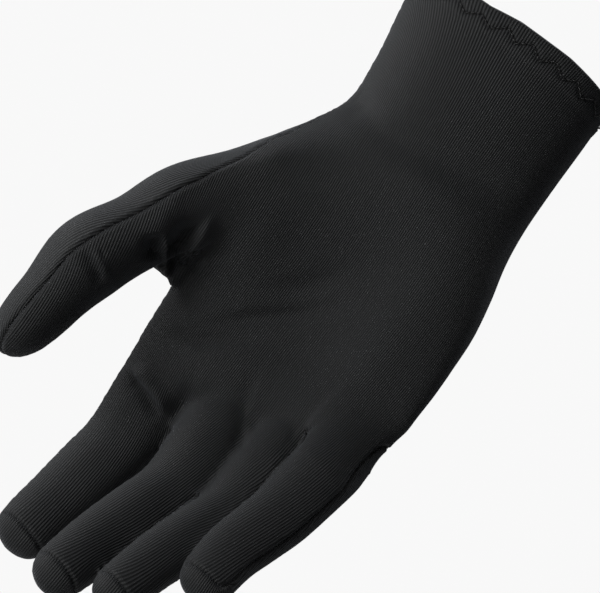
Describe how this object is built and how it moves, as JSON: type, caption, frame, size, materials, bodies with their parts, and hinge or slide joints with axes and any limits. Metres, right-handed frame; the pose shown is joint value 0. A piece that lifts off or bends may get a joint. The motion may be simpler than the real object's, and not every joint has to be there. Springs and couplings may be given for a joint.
{
  "type": "glove liner",
  "caption": "Thin stretch-knit glove liner for a right hand, with a palm and a back panel joined by seams and a turned, zigzag-stitched cuff hem",
  "frame": {"origin": "the centre of the cuff's opening, where the hand goes in", "axes": "+Z points out of the cuff, the fingers hang to -Z, the palm faces -Y, the thumb lies to -X"},
  "size_m": [0.1285, 0.0788, 0.2381],
  "materials": {
    "palm_cloth": "near-black fine stretch knit with ribs along the fingers, matt with a soft sheen",
    "back_cloth": "the same near-black fine stretch knit",
    "hem_cloth": "the same knit, turned in and zigzag stitched with black thread"
  },
  "bodies": {
    "root": {"palm_panel": "palm_cloth", "back_panel": "back_cloth", "cuff_hem": "hem_cloth"}
  },
  "joints": []
}
